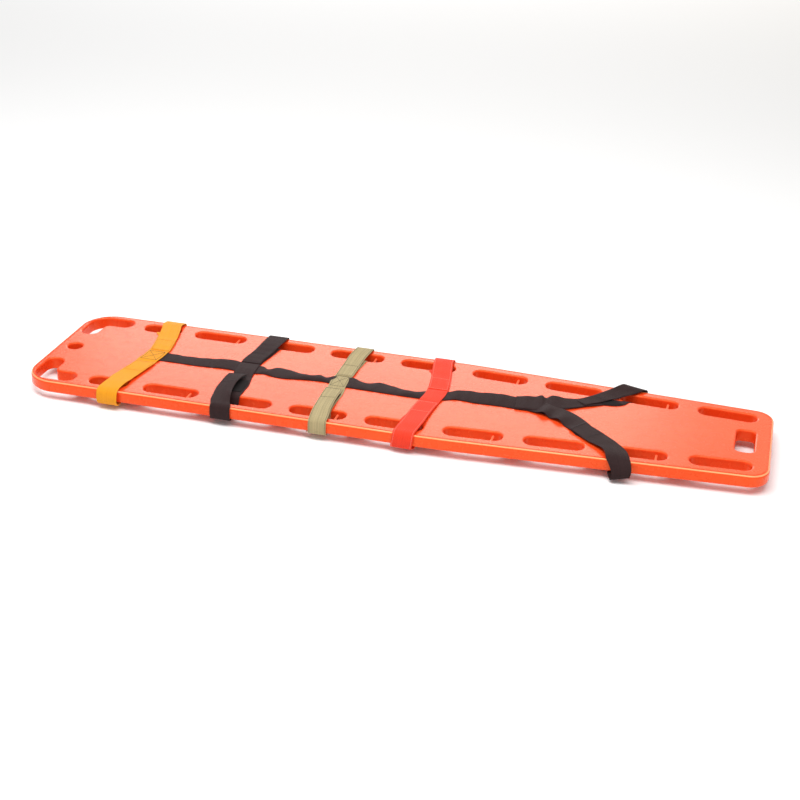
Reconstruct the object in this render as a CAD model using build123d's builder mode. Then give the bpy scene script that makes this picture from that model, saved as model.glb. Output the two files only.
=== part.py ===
from build123d import *
import math
import os

# Spine board with a strap harness. Millimetres, +Z up, origin under the middle of the
# board on the surface that it rests on. -X is the wide head end, with two corner grips,
# and +X is the narrow foot end, with one grip.

os.makedirs("parts", exist_ok=True)

# --- driving dimensions of the board ---
LENGTH = 1840.0
HEAD_WIDTH = 430.0
FOOT_WIDTH = 339.0
HEIGHT = 50.0
RAIL_THICKNESS = 31.0
TAPER_START_X = 150.0
TAPER_START_RADIUS = 2000.0
HEAD_CORNER_RADIUS = 82.0
FOOT_CORNER_RADIUS = 48.0
EDGE_RADIUS = 7.0
WALL = 4.0
FOAM_GAP = 0.1

# --- grip slots: number 2 is short, numbers 3 to 10 are long and evenly spaced ---
SLOT_PITCH = 191.5
SLOT_LENGTH = 141.0
SLOT_WIDTH = 42.0
LAST_SLOT_END_X = 879.5
LAST_SLOT = 10
FIRST_LONG_SLOT = 3
SHORT_SLOT_LENGTH = 101.0
SHORT_SLOT_X = -698.0
SLOT_INSET_HEAD = 47.0
SLOT_INSET_FOOT = 49.5
FIRST_TAPERED_SLOT = 7
LIP_RADIUS = 5.0
LOWER_LIP_RADIUS = 3.0

# --- head end grips, hanging hole and foot end grip ---
EAR_OUTER_X = -903.0
EAR_OUTER_Y = 195.0
EAR_WIDTH = 46.0
EAR_END_X = -788.0
EAR_END_Y = 82.0
EAR_CORNER_RADIUS = 46.0
EAR_BUMP_RADIUS = 16.0
EAR_TIP_RADIUS = 22.0
HOLE_X = -874.0
HOLE_RADIUS = 19.0
GRIP_X = 858.0
GRIP_LENGTH = 44.0
GRIP_WIDTH = 110.0
GRIP_RADIUS = 14.0

# --- parting groove round the deck ---
GROOVE_INSET = 7.5
GROOVE_WIDTH = 1.6
GROOVE_DEPTH = 0.8

# --- raised belly and the two runners under it ---
BELLY_Z = 9.0
BELLY_INSET = 92.0
BELLY_END_X = 790.0
BELLY_RADIUS = 40.0
RUNNER_Y = 62.0
RUNNER_WIDTH = 34.0
RUNNER_LENGTH = 1480.0
RUNNER_DRAFT = 8.0

# --- speed clip pins across every second long slot ---
PIN_SLOTS = (3, 5, 7, 9)
PIN_RADIUS = 3.0
PIN_FROM_SLOT_END = 25.5
PIN_Z = 37.0
PIN_SEAT = 9.0

# --- webbing ---
WEB = 2.0
WEB_WIDTH = 52.0
KHAKI_WIDTH = 45.0
LIE_GAP = 0.2
BODY_GAP = 0.4
TAPE = 0.9
HOOK_LENGTH = 55.0
HOOK_FROM_END = 6.0
LOOP_TAPE_LENGTH = 75.0
TAPE_MARGIN = 4.0
LOOP_BEND = 4.5
LOOP_UNDER_Z = 13.0
LOOP_LOW_Z = 8.0
LOOP_BULGE = 9.0
HINGE_INSET = 3.0
HINGE_SIDE_GAP = 2.1
TAIL_SIDE_GAP = 0.8
MID_END_FROM_WALL = 10.0
TAIL_END_Y = 44.0

# --- harness layout: where each strap crosses the spine strap and enters its slots ---
SPINE_START_X = -672.0
SPINE_END_X = 398.0
SHOULDER_START_X = 309.0
SHOULDER_SLOT = 9
SHOULDER_X = 577.0
SHOULDER_TURN_X = 400.0
SHOULDER_TAIL_X = 470.0
SHOULDER_TAIL_Y = 46.0
CROSS_STRAPS = (
    # name, slot, x at the crossing, x in the near slot, x in the far slot, width
    ("yellow", 2, -652.0, -678.0, -678.0, WEB_WIDTH),
    ("black", 4, -394.0, -380.0, -380.0, WEB_WIDTH),
    ("khaki", 5, -146.0, -137.0, -146.0, KHAKI_WIDTH),
    ("red", 6, 101.0, 80.0, 80.0, WEB_WIDTH),
)

# --- worked out from the driving dimensions ---
HEAD_X = -LENGTH / 2
FOOT_X = LENGTH / 2
HEAD_HALF = HEAD_WIDTH / 2
FOOT_HALF = FOOT_WIDTH / 2
RAIL_Z = HEIGHT - RAIL_THICKNESS
TAPER_SLOPE = (HEAD_HALF - FOOT_HALF) / (FOOT_X - TAPER_START_X)
TAPER_ANGLE = math.degrees(math.atan(TAPER_SLOPE))
SPINE_MID_Z = HEIGHT + LIE_GAP + WEB / 2
CROSS_MID_Z = SPINE_MID_Z + WEB + LIE_GAP
LOOP_TAPE_Z = HEIGHT + LIE_GAP + WEB
HOOK_TAPE_Z = LOOP_TAPE_Z + TAPE + BODY_GAP
TAIL_Z = HOOK_TAPE_Z + TAPE
TAIL_MID_Z = TAIL_Z + WEB / 2


def half_width(x):
    """Half the board's width at x."""
    return HEAD_HALF - TAPER_SLOPE * max(0.0, x - TAPER_START_X)


def slot_span(number):
    """Length and centre x of a grip slot."""
    if number < FIRST_LONG_SLOT:
        return SHORT_SLOT_LENGTH, SHORT_SLOT_X
    end_x = LAST_SLOT_END_X - (LAST_SLOT - number) * SLOT_PITCH
    return SLOT_LENGTH, end_x - SLOT_LENGTH / 2


def slot_centre_y(number, x):
    """Distance of a slot's centre line from the board's centre line at x."""
    inset = SLOT_INSET_FOOT if number >= FIRST_TAPERED_SLOT else SLOT_INSET_HEAD
    return half_width(x) - inset


def pin_x(number):
    length, centre_x = slot_span(number)
    return centre_x + length / 2 - PIN_FROM_SLOT_END


def board_outline(inset):
    """The plan of the board, drawn in by inset."""
    with BuildSketch() as plan:
        with BuildLine():
            Polyline(
                (HEAD_X, -HEAD_HALF),
                (TAPER_START_X, -HEAD_HALF),
                (FOOT_X, -FOOT_HALF),
                (FOOT_X, FOOT_HALF),
                (TAPER_START_X, HEAD_HALF),
                (HEAD_X, HEAD_HALF),
                close=True,
            )
        make_face()
        waist = plan.vertices().filter_by_position(Axis.X, TAPER_START_X - 1, TAPER_START_X + 1)
        fillet(waist, TAPER_START_RADIUS)
        fillet(plan.vertices().group_by(Axis.X)[0], HEAD_CORNER_RADIUS)
        fillet(plan.vertices().group_by(Axis.X)[-1], FOOT_CORNER_RADIUS)
        if inset:
            offset(amount=-inset)
    return plan.sketch


def slot_outlines(grow):
    """All the grip slots of both sides, grown by grow."""
    with BuildSketch() as plan:
        for side in (-1, 1):
            for number in range(2, LAST_SLOT + 1):
                length, x = slot_span(number)
                angle = -side * TAPER_ANGLE if number >= FIRST_TAPERED_SLOT else 0.0
                with Locations(Location((x, side * slot_centre_y(number, x), 0), (0, 0, angle))):
                    SlotOverall(length + 2 * grow, SLOT_WIDTH + 2 * grow)
    return plan.sketch


def ear_outline(grow):
    """The bean-shaped grip in the far head corner; the near one mirrors it."""
    inner_x = EAR_OUTER_X + EAR_WIDTH
    inner_y = EAR_OUTER_Y - EAR_WIDTH
    with BuildSketch() as plan:
        with BuildLine():
            Polyline(
                (EAR_OUTER_X, EAR_END_Y),
                (EAR_OUTER_X, EAR_OUTER_Y),
                (EAR_END_X, EAR_OUTER_Y),
                (EAR_END_X, inner_y),
                (inner_x, inner_y),
                (inner_x, EAR_END_Y),
                close=True,
            )
        make_face()
        outer = plan.vertices().sort_by_distance((EAR_OUTER_X, EAR_OUTER_Y, 0))[0]
        fillet(outer, EAR_CORNER_RADIUS)
        bump = plan.vertices().sort_by_distance((inner_x, inner_y, 0))[0]
        fillet(bump, EAR_BUMP_RADIUS)
        fillet(plan.vertices().group_by(Axis.X)[-1], EAR_TIP_RADIUS)
        fillet(plan.vertices().group_by(Axis.Y)[0], EAR_TIP_RADIUS)
        if grow:
            offset(amount=grow)
    return plan.sketch


def hole_outlines(grow):
    """The round hanging hole at the head end and the grip at the foot end."""
    with BuildSketch() as plan:
        with Locations((HOLE_X, 0)):
            Circle(HOLE_RADIUS + grow)
        with Locations((GRIP_X, 0)):
            RectangleRounded(GRIP_LENGTH + 2 * grow, GRIP_WIDTH + 2 * grow, GRIP_RADIUS + grow)
    return plan.sketch


def belly_outline(inset):
    """The raised middle of the underside, kept clear of the slots."""
    half_head = HEAD_HALF - BELLY_INSET
    half_foot = half_width(BELLY_END_X) - BELLY_INSET
    with BuildSketch() as plan:
        with BuildLine():
            Polyline(
                (-BELLY_END_X, -half_head),
                (TAPER_START_X, -half_head),
                (BELLY_END_X, -half_foot),
                (BELLY_END_X, half_foot),
                (TAPER_START_X, half_head),
                (-BELLY_END_X, half_head),
                close=True,
            )
        make_face()
        fillet(plan.vertices().group_by(Axis.X)[0], BELLY_RADIUS)
        fillet(plan.vertices().group_by(Axis.X)[-1], BELLY_RADIUS)
        if inset:
            offset(amount=-inset)
    return plan.sketch


def runner_outlines(inset):
    """The two long feet of the board."""
    with BuildSketch() as plan:
        with Locations((0, -RUNNER_Y), (0, RUNNER_Y)):
            SlotOverall(RUNNER_LENGTH - 2 * inset, RUNNER_WIDTH - 2 * inset)
    return plan.sketch


def openings_outline(grow):
    """Every opening that goes through the board, grown by grow."""
    ear = ear_outline(grow)
    slots = slot_outlines(grow)
    holes = hole_outlines(grow)
    with BuildSketch() as plan:
        add(slots)
        add(holes)
        add(ear)
        mirror(ear, about=Plane.XZ)
    return plan.sketch


def pin_solids(radius, extra):
    """The speed clip pins of both sides: one list of (name, solid)."""
    pins = []
    for side, side_name in ((-1, "near"), (1, "far")):
        for index, number in enumerate(PIN_SLOTS):
            x = pin_x(number)
            y = side * slot_centre_y(number, x)
            with BuildPart() as pin:
                with BuildSketch(Plane((x, y, PIN_Z), x_dir=(1, 0, 0), z_dir=(0, 1, 0))):
                    Circle(radius)
                extrude(amount=SLOT_WIDTH / 2 + PIN_SEAT + extra, both=True)
            pins.append((f"clip_pin_{side_name}_{index + 1}", pin.part))
    return pins


def write(part, name):
    part.label = name
    export_step(part, f"parts/{name}.step")


# --- board: one hollow moulding round a foam core, with eight pins set into it ---
outer_plan = board_outline(0.0)
openings_plan = openings_outline(0.0)
belly_plan = belly_outline(0.0)
runner_plan = runner_outlines(0.0)
cavity_plan = board_outline(WALL)
wide_openings_plan = openings_outline(WALL)
cavity_belly_plan = belly_outline(WALL)
cavity_runner_plan = runner_outlines(WALL)
groove_outer_plan = board_outline(GROOVE_INSET)
groove_inner_plan = board_outline(GROOVE_INSET + GROOVE_WIDTH)
pin_parts = pin_solids(PIN_RADIUS, 0.0)


def cavity_solid(gap):
    """The hollow of the moulding, drawn in by gap."""
    floor_z = RAIL_Z + WALL + gap
    with BuildPart() as cavity:
        with BuildSketch(Plane.XY.offset(floor_z)):
            add(cavity_plan)
            add(wide_openings_plan, mode=Mode.SUBTRACT)
            if gap:
                offset(amount=-gap)
        extrude(amount=RAIL_THICKNESS - 2 * WALL - 2 * gap)
        with BuildSketch(Plane.XY.offset(floor_z)):
            add(cavity_belly_plan)
            if gap:
                offset(amount=-gap)
        extrude(amount=BELLY_Z - RAIL_Z)
        with BuildSketch(Plane.XY.offset(BELLY_Z + WALL + gap)):
            add(cavity_runner_plan)
            if gap:
                offset(amount=-gap)
        extrude(amount=-BELLY_Z)
    return cavity.part


hollow = cavity_solid(0.0)

with BuildPart() as board_shell:
    with BuildSketch(Plane.XY.offset(RAIL_Z)):
        add(outer_plan)
    extrude(amount=RAIL_THICKNESS)
    fillet(board_shell.faces().sort_by(Axis.Z)[-1].edges(), EDGE_RADIUS)
    fillet(board_shell.faces().sort_by(Axis.Z)[0].edges(), EDGE_RADIUS)
    with BuildSketch(Plane.XY.offset(RAIL_Z)):
        add(openings_plan)
    extrude(amount=RAIL_THICKNESS, mode=Mode.SUBTRACT)
    deck_face = board_shell.faces().sort_by(Axis.Z)[-1]
    fillet(deck_face.inner_wires().edges(), LIP_RADIUS)
    under_face = board_shell.faces().sort_by(Axis.Z)[0]
    fillet(under_face.inner_wires().edges(), LOWER_LIP_RADIUS)
    with BuildSketch(Plane.XY.offset(RAIL_Z)):
        add(belly_plan)
    extrude(amount=BELLY_Z - RAIL_Z, dir=(0, 0, 1))
    with BuildSketch(Plane.XY.offset(BELLY_Z)):
        add(runner_plan)
    extrude(amount=-BELLY_Z, taper=RUNNER_DRAFT)
    with BuildSketch(Plane.XY.offset(HEIGHT)):
        add(groove_outer_plan)
        add(groove_inner_plan, mode=Mode.SUBTRACT)
    extrude(amount=-GROOVE_DEPTH, mode=Mode.SUBTRACT)
    add(hollow, mode=Mode.SUBTRACT)
    for pin_name, pin_part in pin_parts:
        add(pin_part, mode=Mode.SUBTRACT)
write(board_shell.part, "board_shell")

foam = cavity_solid(FOAM_GAP)
pin_pockets = pin_solids(PIN_RADIUS + FOAM_GAP, FOAM_GAP)
with BuildPart() as foam_core:
    add(foam)
    for pocket_name, pocket in pin_pockets:
        add(pocket, mode=Mode.SUBTRACT)
write(foam_core.part, "foam_core")

for pin_name, pin_part in pin_parts:
    write(pin_part, pin_name)


# --- harness: flat webbing straps, laid out from their side profile and their plan ---
def strap_solid(profile_points, bend_radius, plan_points, profile_plane, reach):
    """Webbing with the side profile of a bent line and the outline of a flat plan."""
    with BuildPart() as strap:
        with BuildSketch(profile_plane):
            with BuildLine():
                if bend_radius:
                    FilletPolyline(*profile_points, radius=bend_radius)
                else:
                    Polyline(*profile_points)
            trace(line_width=WEB)
        extrude(amount=reach, both=True)
        with BuildSketch(Plane.XY):
            with BuildLine():
                Polyline(*plan_points, close=True)
            make_face()
        extrude(amount=2 * HEIGHT, mode=Mode.INTERSECT)
    return strap.part


def plate_solid(plan_points, bottom_z, thickness):
    """A flat piece of webbing or tape."""
    with BuildPart() as plate:
        with BuildSketch(Plane.XY.offset(bottom_z)):
            with BuildLine():
                Polyline(*plan_points, close=True)
            make_face()
        extrude(amount=thickness)
    return plate.part


def slot_inner_y(number, x):
    return slot_centre_y(number, x) - SLOT_WIDTH / 2


def loop_solid(side, number, x, width):
    """The webbing that goes down a slot, under the rail and up over its edge."""
    edge_y = half_width(x)
    centre_y = slot_centre_y(number, x)
    start_y = slot_inner_y(number, x) - MID_END_FROM_WALL + BODY_GAP
    end_y = edge_y - HINGE_INSET + HINGE_SIDE_GAP
    outer_y = edge_y + LOOP_BULGE
    points = [
        (side * start_y, SPINE_MID_Z),
        (side * (centre_y - 3.0), SPINE_MID_Z),
        (side * (centre_y + 2.0), LOOP_UNDER_Z),
        (side * (edge_y - 10.0), LOOP_LOW_Z),
        (side * outer_y, RAIL_Z - 3.0),
        (side * (outer_y + 1.0), HEIGHT - 12.0),
        (side * (edge_y + 6.0), TAIL_MID_Z),
        (side * end_y, TAIL_MID_Z),
    ]
    with BuildPart() as loop:
        with BuildSketch(Plane.YZ.offset(x - width / 2)):
            with BuildLine():
                FilletPolyline(*points, radius=LOOP_BEND)
            trace(line_width=WEB)
        extrude(amount=width)
    return loop.part


def cross_plan(cross_x, near_x, far_x, width, near_y, far_y):
    half = width / 2
    return [
        (near_x - half, -near_y),
        (near_x + half, -near_y),
        (cross_x + half, 0.0),
        (far_x + half, far_y),
        (far_x - half, far_y),
        (cross_x - half, 0.0),
    ]


def lean(cross_x, slot_x, slot_y, y):
    """x of a cross strap's centre line at distance y from the board's centre line."""
    return cross_x + (slot_x - cross_x) * min(1.0, y / slot_y)


def band_plan(side, x_outer, y_outer, x_inner, y_inner, width):
    half = width / 2
    return [
        (x_outer - half, side * y_outer),
        (x_outer + half, side * y_outer),
        (x_inner + half, side * y_inner),
        (x_inner - half, side * y_inner),
    ]


with BuildPart() as spine_strap:
    with BuildSketch(Plane.XY.offset(HEIGHT + LIE_GAP)):
        with Locations(((SPINE_START_X + SPINE_END_X) / 2, 0)):
            Rectangle(SPINE_END_X - SPINE_START_X, WEB_WIDTH)
    extrude(amount=WEB)
write(spine_strap.part, "spine_strap")

hump = WEB_WIDTH / 2 + 4.0
slope = 8.0

for name, number, cross_x, near_x, far_x, width in CROSS_STRAPS:
    slot_y = slot_inner_y(number, cross_x)
    end_y = slot_y - MID_END_FROM_WALL
    profile = [
        (-end_y, SPINE_MID_Z),
        (-hump - slope, SPINE_MID_Z),
        (-hump, CROSS_MID_Z),
        (hump, CROSS_MID_Z),
        (hump + slope, SPINE_MID_Z),
        (end_y, SPINE_MID_Z),
    ]
    plan_points = cross_plan(cross_x, near_x, far_x, width, end_y, end_y)
    plane = Plane((cross_x, 0, 0), x_dir=(0, 1, 0), z_dir=(1, 0, 0))
    write(strap_solid(profile, 0.0, plan_points, plane, 2 * WEB_WIDTH), f"{name}_cross_strap")
    for side, side_name, slot_x in ((-1, "near", near_x), (1, "far", far_x)):
        write(loop_solid(side, number, slot_x, width), f"{name}_{side_name}_rail_loop")
        tail_start = half_width(slot_x) - HINGE_INSET - TAIL_SIDE_GAP
        tail_x = lean(cross_x, slot_x, slot_y, TAIL_END_Y)
        tail_plan = band_plan(side, slot_x, tail_start, tail_x, TAIL_END_Y, width)
        write(plate_solid(tail_plan, TAIL_Z, WEB), f"{name}_{side_name}_tail")
        hook_y = TAIL_END_Y + HOOK_FROM_END
        hook_far_y = hook_y + HOOK_LENGTH
        lean_span = (tail_start - TAIL_END_Y)
        hook_x = tail_x + (slot_x - tail_x) * (hook_y - TAIL_END_Y) / lean_span
        hook_far_x = tail_x + (slot_x - tail_x) * (hook_far_y - TAIL_END_Y) / lean_span
        tape_width = width - 2 * TAPE_MARGIN
        hook_plan = band_plan(side, hook_far_x, hook_far_y, hook_x, hook_y, tape_width)
        write(plate_solid(hook_plan, HOOK_TAPE_Z, TAPE), f"{name}_{side_name}_hook_tape")
        loop_y = TAIL_END_Y + 2.0
        loop_far_y = loop_y + LOOP_TAPE_LENGTH
        loop_x = lean(cross_x, slot_x, slot_y, loop_y)
        loop_far_x = lean(cross_x, slot_x, slot_y, loop_far_y)
        loop_plan = band_plan(side, loop_far_x, loop_far_y, loop_x, loop_y, tape_width)
        write(plate_solid(loop_plan, LOOP_TAPE_Z, TAPE), f"{name}_{side_name}_loop_tape")

# the shoulder strap: one length of webbing, folded to a V and sewn over the spine strap
shoulder_slot_y = slot_inner_y(SHOULDER_SLOT, SHOULDER_X)
shoulder_end_y = shoulder_slot_y - MID_END_FROM_WALL
half_web = WEB_WIDTH / 2
shoulder_profile = [
    (SHOULDER_START_X, CROSS_MID_Z),
    (SPINE_END_X + 4.0, CROSS_MID_Z),
    (SPINE_END_X + 12.0, SPINE_MID_Z),
    (SHOULDER_X + WEB_WIDTH, SPINE_MID_Z),
]
shoulder_plan = [
    (SHOULDER_START_X, -half_web),
    (SHOULDER_TURN_X - 20.0, -half_web),
    (SHOULDER_X - half_web, -shoulder_end_y),
    (SHOULDER_X + half_web, -shoulder_end_y),
    (SHOULDER_TURN_X + 30.0, 0.0),
    (SHOULDER_X + half_web, shoulder_end_y),
    (SHOULDER_X - half_web, shoulder_end_y),
    (SHOULDER_TURN_X - 20.0, half_web),
    (SHOULDER_START_X, half_web),
]
shoulder_plane = Plane((0, 0, 0), x_dir=(1, 0, 0), z_dir=(0, -1, 0))
shoulder_strap = strap_solid(shoulder_profile, 0.0, shoulder_plan, shoulder_plane, HEAD_WIDTH)
write(shoulder_strap, "shoulder_strap")

for side, side_name in ((-1, "near"), (1, "far")):
    write(loop_solid(side, SHOULDER_SLOT, SHOULDER_X, WEB_WIDTH), f"shoulder_{side_name}_rail_loop")
    tail_start = half_width(SHOULDER_X) - HINGE_INSET - TAIL_SIDE_GAP
    shoulder_tail_plan = [
        (SHOULDER_X - half_web, side * tail_start),
        (SHOULDER_X + half_web, side * tail_start),
        (SHOULDER_X + half_web, side * (shoulder_end_y + 6.0)),
        (SHOULDER_TAIL_X + 18.0, side * (SHOULDER_TAIL_Y - 12.0)),
        (SHOULDER_TAIL_X - 18.0, side * (SHOULDER_TAIL_Y + 24.0)),
        (SHOULDER_X - half_web, side * (shoulder_end_y + 20.0)),
    ]
    write(plate_solid(shoulder_tail_plan, TAIL_Z, WEB), f"shoulder_{side_name}_tail")
    hook_plan = [
        (SHOULDER_TAIL_X - 6.0, side * (SHOULDER_TAIL_Y + 22.0)),
        (SHOULDER_TAIL_X + 22.0, side * (SHOULDER_TAIL_Y - 6.0)),
        (SHOULDER_TAIL_X + 60.0, side * (SHOULDER_TAIL_Y + 28.0)),
        (SHOULDER_TAIL_X + 32.0, side * (SHOULDER_TAIL_Y + 56.0)),
    ]
    write(plate_solid(hook_plan, HOOK_TAPE_Z, TAPE), f"shoulder_{side_name}_hook_tape")
    loop_plan = [
        (SHOULDER_TAIL_X - 16.0, side * (SHOULDER_TAIL_Y + 12.0)),
        (SHOULDER_TAIL_X + 12.0, side * (SHOULDER_TAIL_Y - 16.0)),
        (SHOULDER_TAIL_X + 66.0, side * (SHOULDER_TAIL_Y + 32.0)),
        (SHOULDER_TAIL_X + 38.0, side * (SHOULDER_TAIL_Y + 60.0)),
    ]
    write(plate_solid(loop_plan, LOOP_TAPE_Z, TAPE), f"shoulder_{side_name}_loop_tape")
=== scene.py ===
"""A spine board with its strap harness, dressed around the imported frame. Metres, +Z up."""

import math
import random

import bmesh
import bpy
from mathutils import Matrix, Vector


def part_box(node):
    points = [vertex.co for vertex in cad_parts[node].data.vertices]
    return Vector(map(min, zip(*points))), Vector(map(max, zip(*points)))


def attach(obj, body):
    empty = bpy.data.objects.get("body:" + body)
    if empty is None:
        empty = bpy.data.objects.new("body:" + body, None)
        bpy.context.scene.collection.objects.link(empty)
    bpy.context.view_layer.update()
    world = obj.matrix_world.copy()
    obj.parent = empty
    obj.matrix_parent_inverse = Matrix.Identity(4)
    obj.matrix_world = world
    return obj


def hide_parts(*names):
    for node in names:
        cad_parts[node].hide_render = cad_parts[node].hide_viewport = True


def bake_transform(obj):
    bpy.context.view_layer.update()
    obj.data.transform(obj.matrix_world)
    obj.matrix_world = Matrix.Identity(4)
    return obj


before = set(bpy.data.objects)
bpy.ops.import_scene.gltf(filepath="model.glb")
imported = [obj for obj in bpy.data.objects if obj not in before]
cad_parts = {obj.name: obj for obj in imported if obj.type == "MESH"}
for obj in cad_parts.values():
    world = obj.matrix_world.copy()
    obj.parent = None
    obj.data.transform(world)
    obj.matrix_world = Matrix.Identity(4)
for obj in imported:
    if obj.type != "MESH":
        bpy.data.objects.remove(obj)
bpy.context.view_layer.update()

MM = 0.001
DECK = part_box("board_shell")[1].z

# --- thicknesses of webbing and tape, and the radius of thread ---
WEB = 1.7 * MM
TAPE = 0.8 * MM
THREAD = 0.55 * MM

# --- ribbons: spacing of rows, faces across, and how close a row may be to an end ---
ROW_STEP = 3.5 * MM
FACES_ACROSS = 8
SHORTEST_ROW = 0.1 * MM

# --- the waves that ripple a ribbon: how many, their lengths in mm, one turn, and their heights ---
WAVE_COUNT = 4
WAVE_LENGTHS = (25, 80)
WAVE_TURN = 6.28
RIPPLE = 0.25 * MM
SHOULDER_RIPPLE = 0.4 * MM
SPINE_RIPPLE = 0.5 * MM

# --- stitches: length, gap, sides, height over the webbing's middle, and share and swell along one ---
STITCH = 3.2 * MM
STITCH_GAP = 0.9 * MM
STITCH_SIDES = 6
STITCH_LIFT = WEB / 2 + THREAD * 0.4
STITCH_PROFILE = ((0.0, 0.35), (0.2, 0.9), (0.5, 1.0), (0.8, 0.9), (1.0, 0.35))


# ---------------------------------------------------------------- geometry tools
def spline_point(points, t):
    """A centripetal Catmull-Rom curve through the points, at t from 0 to len(points) - 1."""
    last = len(points) - 1
    index = min(int(t), last - 1)
    share = t - index
    p1, p2 = points[index], points[index + 1]
    p0 = points[index - 1] if index > 0 else p1 * 2 - p2
    p3 = points[index + 2] if index + 2 <= last else p2 * 2 - p1
    d1 = max((p1 - p0).length, 1e-7) ** 0.5
    d2 = max((p2 - p1).length, 1e-7) ** 0.5
    d3 = max((p3 - p2).length, 1e-7) ** 0.5
    m1 = (p1 - p0) / d1 - (p2 - p0) / (d1 + d2) + (p2 - p1) / d2
    m2 = (p2 - p1) / d2 - (p3 - p1) / (d2 + d3) + (p3 - p2) / d3
    m1 *= d2
    m2 *= d2
    a = 2 * p1 - 2 * p2 + m1 + m2
    b = -3 * p1 + 3 * p2 - 2 * m1 - m2
    return ((a * share + b) * share + m1) * share + p1


def linear(points, t):
    """A point on the straight lines through the points, at t from 0 to len(points) - 1."""
    index = min(int(t), len(points) - 2)
    return points[index].lerp(points[index + 1], t - index)


class Ribbon:
    """Flat webbing between two edge curves. up is the side that its normal starts on.

    Each row is the left edge's point, the right edge's point and how far the middle bows up, in mm.
    """

    def __init__(self, rows, up=(0, 0, 1), seed=0, ripple=RIPPLE):
        left = [Vector(row[0]) * MM for row in rows]
        right = [Vector(row[1]) * MM for row in rows]
        crown = [Vector((row[2], 0, 0)) * MM for row in rows]
        stops = []
        for index in range(len(left) - 1):
            here = (left[index] + right[index]) / 2
            there = (left[index + 1] + right[index + 1]) / 2
            count = max(2, round((there - here).length / ROW_STEP))
            stops += [index + k / count for k in range(count)]
        stops.append(float(len(left) - 1))
        edges = [(spline_point(left, t), spline_point(right, t)) for t in stops]
        self.centres = [(a + b) / 2 for a, b in edges]
        self.across = [b - a for a, b in edges]
        self.crowns = [linear(crown, t).x for t in stops]
        self.along = [0.0]
        for a, b in zip(self.centres, self.centres[1:]):
            self.along.append(self.along[-1] + (b - a).length)
        self.length = self.along[-1]
        self.normals = []
        previous = Vector(up)
        last = len(stops) - 1
        for index in range(last + 1):
            tangent = self.centres[min(index + 1, last)] - self.centres[max(index - 1, 0)]
            normal = self.across[index].cross(tangent).normalized()
            if normal.dot(previous) < 0:
                normal = -normal
            self.normals.append(normal)
            previous = normal
        dice = random.Random(seed)
        self.waves = []
        for _ in range(WAVE_COUNT):
            size = ripple * dice.uniform(0.4, 1.0)
            length = dice.uniform(*WAVE_LENGTHS) * MM
            phase = dice.uniform(0, WAVE_TURN)
            self.waves.append((size, length, phase, dice.uniform(-1, 1)))

    def frame_at(self, along):
        """Centre, across vector, normal and crown at a distance along the ribbon."""
        along = min(max(along, 0.0), self.length)
        index = 0
        while index < len(self.along) - 2 and self.along[index + 1] < along:
            index += 1
        span = self.along[index + 1] - self.along[index]
        share = (along - self.along[index]) / span if span > 0 else 0.0
        centre = self.centres[index].lerp(self.centres[index + 1], share)
        across = self.across[index].lerp(self.across[index + 1], share)
        normal = self.normals[index].lerp(self.normals[index + 1], share).normalized()
        crown = self.crowns[index] * (1 - share) + self.crowns[index + 1] * share
        return centre, across, normal, crown

    def at(self, along, side, lift=0.0):
        """A point at side from -1, the left edge, to 1, the right edge, lifted off the middle."""
        centre, across, normal, crown = self.frame_at(along)
        bow = crown * (1 - side * side)
        for size, length, phase, tilt in self.waves:
            bow += size * math.sin(2 * math.pi * along / length + phase) * (1 + tilt * side) / 2
        return centre + across * (side / 2) + normal * (lift + bow)

    def width_at(self, along):
        """The ribbon's width at a distance along it."""
        return self.frame_at(along)[1].length

    def near_y(self, y):
        """The distance along the ribbon at which its centre line is nearest to this |y|, in mm."""
        gaps = [abs(abs(centre.y) - y * MM) for centre in self.centres]
        return self.along[gaps.index(min(gaps))]


def section_ring(segments, rounding):
    """(side, lift) pairs round the webbing's section; lift from -1 to 1 of half its thickness."""
    ring = []
    inner = 1 - rounding
    for k in range(segments + 1):
        ring.append((-inner + 2 * inner * k / segments, 1.0))
    for turn in (0.7, 0.0, -0.7):
        ring.append((inner + rounding * math.sqrt(1 - turn * turn), turn))
    for k in range(segments + 1):
        ring.append((inner - 2 * inner * k / segments, -1.0))
    for turn in (-0.7, 0.0, 0.7):
        ring.append((-inner - rounding * math.sqrt(1 - turn * turn), turn))
    return ring


def make_object(name, vertices, faces, material, values=None):
    """A smooth shaded mesh object; values are numbers for each vertex, by attribute name."""
    mesh = bpy.data.meshes.new(name)
    mesh.from_pydata(vertices, [], faces)
    mesh.validate()
    for key, numbers in (values or {}).items():
        attribute = mesh.attributes.new(key, "FLOAT", "POINT")
        attribute.data.foreach_set("value", numbers)
    mesh.materials.append(material)
    obj = bpy.data.objects.new(name, mesh)
    bpy.context.scene.collection.objects.link(obj)
    for polygon in mesh.polygons:
        polygon.use_smooth = True
    return obj


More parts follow.
